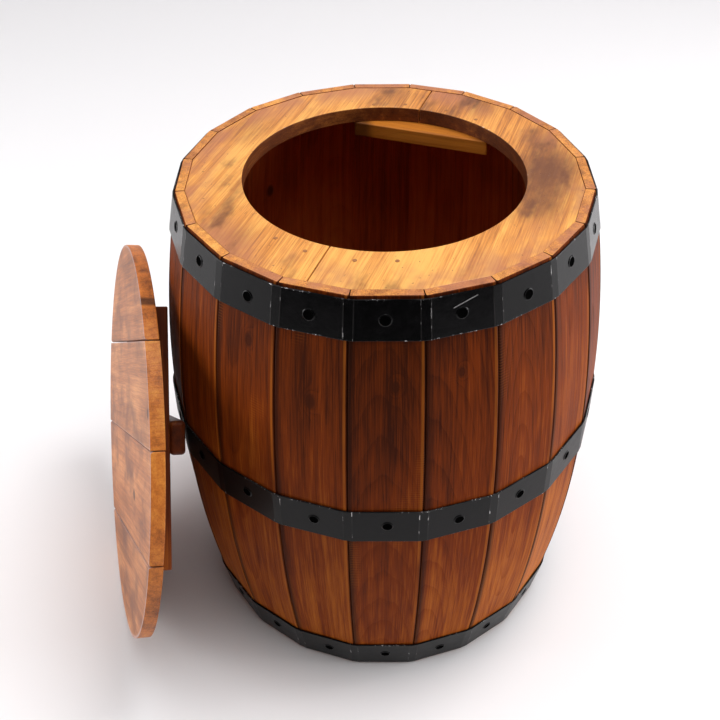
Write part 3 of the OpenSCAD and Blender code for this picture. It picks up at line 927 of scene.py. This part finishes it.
def build_head_batten(node, sizes, seed, material):
    """A batten under the ring or on the floor, sized from its node's own place."""
    turn = Matrix.Rotation(sizes.board_turn - math.pi / 2, 4, "Z")
    back = turn.inverted()
    points = [back @ v.co for v in NODES[node].data.vertices]
    low = Vector(min(p[k] for p in points) for k in range(3))
    high = Vector(max(p[k] for p in points) for k in range(3))
    size, centre = high - low, (low + high) / 2
    if node.startswith("floor"):
        size.z -= HAIR
        centre.z -= HAIR / 2
    place = turn @ Matrix.Translation(centre)
    # painted shade: a dark knot at one end of the batten stands in for the shade that falls on that end
    painted_shade_end = (-size.y / 2, -size.x / 2, 0.012)
    trait = (seed, 0.0, 0.0)
    build_batten(node, node + "_bar", "barrel", size, place, ALONG_X, trait, material, knot=painted_shade_end)


# ---- the lid ----


def lid_joints(lid):
    """The places of the lid's three joints, across its planks."""
    return lid.joint_low, lid.joint_mid, lid.joint_high


def lid_place(lid):
    """Stands the lid in place; drawn flat, its plain face is z = 0 and its planks run along X."""
    low, high = joined_box(LID_PLANKS)
    turned = (
        Matrix.Rotation(lid.turn, 4, "Z")
        @ Matrix.Rotation(lid.lean - math.pi / 2, 4, "Y")
        @ Matrix.Rotation(lid.climb - math.pi / 2, 4, "Z")
    )
    return Matrix.Translation((low + high) / 2) @ turned @ Matrix.Translation((0, 0, lid.thick / 2))


def build_lid_plank(index, lid, trait, knot, trim, materials):
    """One plank of the lid: a slice of the disc with grooved joints and a slightly uneven sawn rim."""
    joints = lid_joints(lid)
    bm = bmesh.new()
    bmesh.ops.create_circle(bm, segments=168, radius=lid.radius, cap_ends=True)
    for vert in bm.verts:
        uneven = 0.0004 * (0.5 + 0.5 * noise.noise(Vector((vert.co.x * 60, vert.co.y * 60, index))))
        vert.co.xy *= 1 - (trim + uneven) / lid.radius
    bmesh.ops.translate(bm, vec=(0, 0, -lid.thick), verts=bm.verts)
    extrude(bm, bm.faces[:], (0, 0, lid.thick))
    if index > 0:
        cut_away(bm, (0, joints[index - 1] + HALF_JOINT, 0), (0, -1, 0))
    if index < len(joints):
        cut_away(bm, (0, joints[index] - HALF_JOINT, 0), (0, 1, 0))
    bmesh.ops.recalc_face_normals(bm, faces=bm.faces)
    sawn = [f for f in bm.faces if abs(f.normal.y) > 0.999 and len(f.verts) < 6]
    face_edges = [e for e in bm.edges if all(v.co.z > -TINY for v in e.verts) and level(e, 1)]
    grooved = [e for e in face_edges if any(f in sawn for f in e.link_faces)]
    for face in bm.faces:
        at_rim = face.calc_center_median().xy.length > 0.96 * (lid.radius - trim)
        face.material_index = 1 if abs(face.normal.z) < 0.5 and at_rim else 0
    round_over(bm, grooved, lid.groove, 2)
    round_over(bm, sharp_edges(bm, 60), LID_EDGE, 2)
    mark_board(bm, ALONG_X, trait, knot)
    bmesh.ops.transform(bm, matrix=lid_place(lid), verts=bm.verts)
    node = LID_PLANKS[index]
    make_piece(bm, node + "_board", "lid", node, materials, smooth=6.0)


# ---- operators ----


def ready_made(name, make):
    """A finish by name, made the first time that it is asked for."""
    return bpy.data.materials.get(name) or make()


def board_wood(name, colours, wood, coat):
    """A plain board in the tones of one wood."""
    return ready_made(name, lambda: plank_finish(name, *tones_of(colours, wood), coat))


def ring_wood(sizes, colours):
    """The head ring's finish, which the staves' upper ends share."""
    return ready_made("honey_board", lambda: ring_finish(colours, sizes.mouth))


def inside_wood(colours):
    """The finish of the staves' inner faces and of the floor, lighter than the stain outside: painted light
    that makes up for the dim light inside the barrel.
    """
    return board_wood("inside_wood", colours, "inside", 0.0)


def stained_batten(colours):
    """The staves' stain on a batten, a little darker."""
    dark, body, light = tones_of(colours, "stave")
    body = [part * 0.8 for part in body]
    return ready_made("stained_batten", lambda: plank_finish("stained_batten", dark, body, light, 0.08))


def painted_nail_shade():
    """Painted shade in the sunk middle of a strap nail: black without gloss, where no light gets in."""
    constants = {"base_color": (0.002, 0.002, 0.002), "roughness": 1.0, "specular_ior_level": 0.0}
    return ready_made("nail_hollow", lambda: Finish("nail_hollow", **constants).material)


class BARREL_OT_staves(bpy.types.Operator):
    """Build the staves"""

    bl_idname = "barrel.staves"
    bl_label = "Staves"

    def execute(self, context):
        sizes, colours, studio = settings(context, "sizes", "colours", "studio")
        materials = [stave_finish(colours), ring_wood(sizes, colours), inside_wood(colours)]
        for index in range(STAVE_COUNT):
            build_stave(index, sizes, studio.seed, materials)
        return {"FINISHED"}


class BARREL_OT_straps(bpy.types.Operator):
    """Build the three straps and their nails"""

    bl_idname = "barrel.straps"
    bl_label = "Straps"

    def execute(self, context):
        sizes, colours = settings(context, "sizes", "colours")
        for place, gloss in STRAP_GLOSS.items():
            low, mid, high, _ = strap_band(place)
            half_bay = flat_at(mid) * math.tan(HALF) - sizes.crease / 2
            scratch = TOP_SCRATCH if place == "top" else None
            material = strap_finish(colours, place + "_strap_paint", high - low, half_bay, gloss, scratch)
            build_strap(place, sizes, material)
            build_strap_nails(place, sizes, [material, painted_nail_shade()])
        return {"FINISHED"}


class BARREL_OT_mouth(bpy.types.Operator):
    """Build the two boards round the mouth and the battens under them"""

    bl_idname = "barrel.mouth"
    bl_label = "Head ring"

    def execute(self, context):
        sizes, colours = settings(context, "sizes", "colours")
        materials = [ring_wood(sizes, colours), board_wood("sawn_wall", colours, "wall", 0.0)]
        for side, seed in ((-1, 11.3), (1, 27.9)):
            build_ring_board(side, sizes, (seed, 0.0, 0.0), materials)
        material = board_wood("plain_batten", colours, "raw", 0.05)
        for name, seed in (("front", 3.1), ("back", 5.6)):
            build_head_batten("ring_batten_" + name, sizes, seed, material)
        return {"FINISHED"}


class BARREL_OT_floor(bpy.types.Operator):
    """Build the floor and its battens"""

    bl_idname = "barrel.floor"
    bl_label = "Floor"

    def execute(self, context):
        sizes, colours = settings(context, "sizes", "colours")
        for index in range(len(FLOOR_PLANKS)):
            build_floor_plank(index, sizes, (40.5 + 3.3 * index, -0.02, 0.1), inside_wood(colours))
        for name, seed in (("front", 8.2), ("back", 9.7)):
            build_head_batten("floor_batten_" + name, sizes, seed, stained_batten(colours))
        return {"FINISHED"}


# the lid's planks: seed, lightness and redness, then the knot, and how much smaller the plank was sawn
LID_LOOKS = (
    ((13.7, 0.02, 0.05), NO_KNOT, 0.0),
    ((52.4, -0.02, 0.15), (-0.04, 0.05, 0.006), 0.0006),
    ((71.9, 0.05, 0.0), (0.03, 0.15, 0.005), 0.0),
    ((34.6, 0.04, 0.10), (0.11, 0.12, 0.005), 0.0005),
)


class BARREL_OT_lid(bpy.types.Operator):
    """Build the lid's planks, battens and handle bar"""

    bl_idname = "barrel.lid"
    bl_label = "Lid"

    def execute(self, context):
        lid, colours = settings(context, "lid", "colours")
        materials = [lid_face_finish(colours, lid), board_wood("lid_rim", colours, "rim", 0.02)]
        for index, look in enumerate(LID_LOOKS):
            build_lid_plank(index, lid, *look, materials)
        thick = lid.batten_thick - HAIR
        stain = stained_batten(colours)
        size = (lid.batten_wide, lid.batten_long, thick)
        for name, side in (("lid_batten_lower", -1), ("lid_batten_upper", 1)):
            spot = Matrix.Translation((side * lid.batten_out, lid.shift, -lid.thick - thick / 2))
            trait = (60 + side * 5.5, 0.0, 0.1)
            build_batten(name, name + "_bar", "lid", size, lid_place(lid) @ spot, ALONG_Y, trait, stain)
        size = (lid.bar_long, lid.bar_wide, thick)
        place = lid_place(lid) @ Matrix.Translation((0, lid.shift, -lid.thick - lid.batten_thick - thick / 2))
        trait = (81.2, 0.02, 0.1)
        build_batten("lid_handle_bar", "lid_grip_bar", "lid", size, place, ALONG_X, trait, stain, BAR_EDGE)
        return {"FINISHED"}


class BARREL_OT_small_nails(bpy.types.Operator):
    """Give the flush nails their finish"""

    bl_idname = "barrel.small_nails"
    bl_label = "Flush nails"

    def execute(self, context):
        material = dull_finish("nail_steel", context.scene.barrel_colours.nail, 0.3, 0.5)
        for node in ("ring_nails", "floor_nails", "lid_nails"):
            for slot in NODES[node].material_slots:
                slot.material = material
        return {"FINISHED"}


class BARREL_OT_studio(bpy.types.Operator):
    """Set up the pale floor, the soft light and the camera"""

    bl_idname = "barrel.studio"
    bl_label = "Studio"

    def execute(self, context):
        colours, studio = settings(context, "colours", "studio")
        build_paper(colours)
        build_flag()
        set_light(context.scene, studio)
        set_camera(context.scene, studio)
        return {"FINISHED"}


# the paper's half width, its front and back, the radius of its bend, and its height
PAPER = (3.2, -1.1, 1.7, 0.9, 2.6)


def build_paper(colours):
    """A sheet of paper that lies under the barrel and curves up behind it."""
    wide, front, back, bend, top = PAPER
    bm = bmesh.new()
    edge = bm.edges.new([bm.verts.new((x, front, 0)) for x in (-wide, wide)])
    _, (edge, *_) = extrude(bm, [edge], (0, back - front, 0))
    made = bmesh.ops.spin(
        bm, geom=[edge, *edge.verts], cent=(0, back, bend), axis=(1, 0, 0), angle=math.pi / 2, steps=24
    )["geom_last"]
    edge = next(part for part in made if isinstance(part, bmesh.types.BMEdge))
    extrude(bm, [edge], (0, 0, top - bend))
    bmesh.ops.recalc_face_normals(bm, faces=bm.faces)
    for face in bm.faces:
        face.smooth = True
    paper = finished(bm, "studio_paper", [paper_finish(colours)])


def build_flag():
    """A dark cloth that lies and stands in front, and keeps the straps black; the camera doesn't see it."""
    bm = bmesh.new()
    bmesh.ops.create_grid(bm, x_segments=1, y_segments=2, size=0.5)
    bmesh.ops.scale(bm, vec=(6.4, 2.4, 1), verts=bm.verts)
    bmesh.ops.translate(bm, vec=(0, -2.3, -0.002), verts=bm.verts)
    hem = [v for v in bm.verts if v.co.y < -3.0]
    bmesh.ops.translate(bm, vec=(0, 1.4, 3.0), verts=hem)
    flag = finished(bm, "dark_flag", [dull_finish("dark_cloth", (0.02, 0.02, 0.02), 0.0, 0.8)])
    flag.visible_camera = False


# the lights: where each one stands, what it faces and its size
SOFTBOXES = {
    "overhead": ((0.15, -0.35, 2.5), (0, 0, 0.2), 1.6),
    "key": ((0.6, 0.15, 2.2), (0, 0, 0.2), 0.7),
    "right": ((1.9, 0.0, 0.6), (0, 0, 0.2), 1.0),
    "left": ((-1.9, -0.1, 0.55), (-0.2, 0, 0.2), 0.9),
}


def add_softbox(name, place, target, size, watts):
    """A square area light that faces a point."""
    data = bpy.data.lights.new(name, "AREA")
    data.shape = "SQUARE"
    data.size = size
    data.energy = watts
    lamp = bpy.data.objects.new(name, data)
    lamp.location = place
    lamp.rotation_euler = (Vector(target) - Vector(place)).to_track_quat("-Z", "Y").to_euler()
    bpy.context.scene.collection.objects.link(lamp)


def set_light(scene, studio):
    """Pale surroundings, two lights overhead and one at each side."""
    world = bpy.data.worlds.new("pale_room")
    world.use_nodes = True
    background = world.node_tree.nodes["Background"]
    background.inputs["Color"].default_value = (1.0, 0.99, 1.0, 1)
    background.inputs["Strength"].default_value = studio.world
    scene.world = world
    for name, (place, target, size) in SOFTBOXES.items():
        add_softbox(name, place, target, size, getattr(studio, name))
    scene.view_settings.view_transform = "Standard"


def set_camera(scene, studio):
    """The camera, from its place and its three turns."""
    yaw, pitch, roll = studio.yaw, studio.pitch, studio.roll
    ahead = Vector((math.sin(yaw) * math.cos(pitch), math.cos(yaw) * math.cos(pitch), -math.sin(pitch)))
    sideways = Vector((math.cos(yaw), -math.sin(yaw), 0))
    above = sideways.cross(ahead)
    right = sideways * math.cos(roll) + above * math.sin(roll)
    up = above * math.cos(roll) - sideways * math.sin(roll)
    data = bpy.data.cameras.new("studio_camera")
    data.lens = studio.lens
    data.sensor_width = 36
    data.clip_start = 0.01
    camera = bpy.data.objects.new("studio_camera", data)
    columns = Matrix((right, up, -ahead)).transposed().to_4x4()
    camera.matrix_world = Matrix.Translation(studio.eye) @ columns
    scene.collection.objects.link(camera)
    scene.camera = camera


class BARREL_PT_panel(bpy.types.Panel):
    """Lists the sizes, colours and build steps"""

    bl_label = "Coopered Barrel"
    bl_idname = "BARREL_PT_panel"
    bl_space_type = "VIEW_3D"
    bl_region_type = "UI"
    bl_category = "Barrel"

    def draw(self, context):
        for operator in OPERATORS:
            self.layout.operator(operator.bl_idname)
        for group in settings(context, *GROUPS):
            box = self.layout.box()
            box.label(text=group.bl_rna.description)
            for name in group.__annotations__:
                box.prop(group, name)


OPERATORS = (
    BARREL_OT_staves,
    BARREL_OT_straps,
    BARREL_OT_mouth,
    BARREL_OT_floor,
    BARREL_OT_lid,
    BARREL_OT_small_nails,
    BARREL_OT_studio,
)
CLASSES = (*GROUPS.values(), *OPERATORS, BARREL_PT_panel)


def register():
    """Registers every class and gives each scene its property groups."""
    for cls in CLASSES:
        bpy.utils.register_class(cls)
    for name, group in GROUPS.items():
        setattr(bpy.types.Scene, "barrel_" + name, PointerProperty(type=group))


def unregister():
    """Takes back what register did."""
    for name in GROUPS:
        delattr(bpy.types.Scene, "barrel_" + name)
    for cls in reversed(CLASSES):
        bpy.utils.unregister_class(cls)


def main():
    """Builds every piece and the studio."""
    register()
    for operator in OPERATORS:
        group, name = operator.bl_idname.split(".")
        getattr(getattr(bpy.ops, group), name)()


if __name__ == "__main__":
    main()
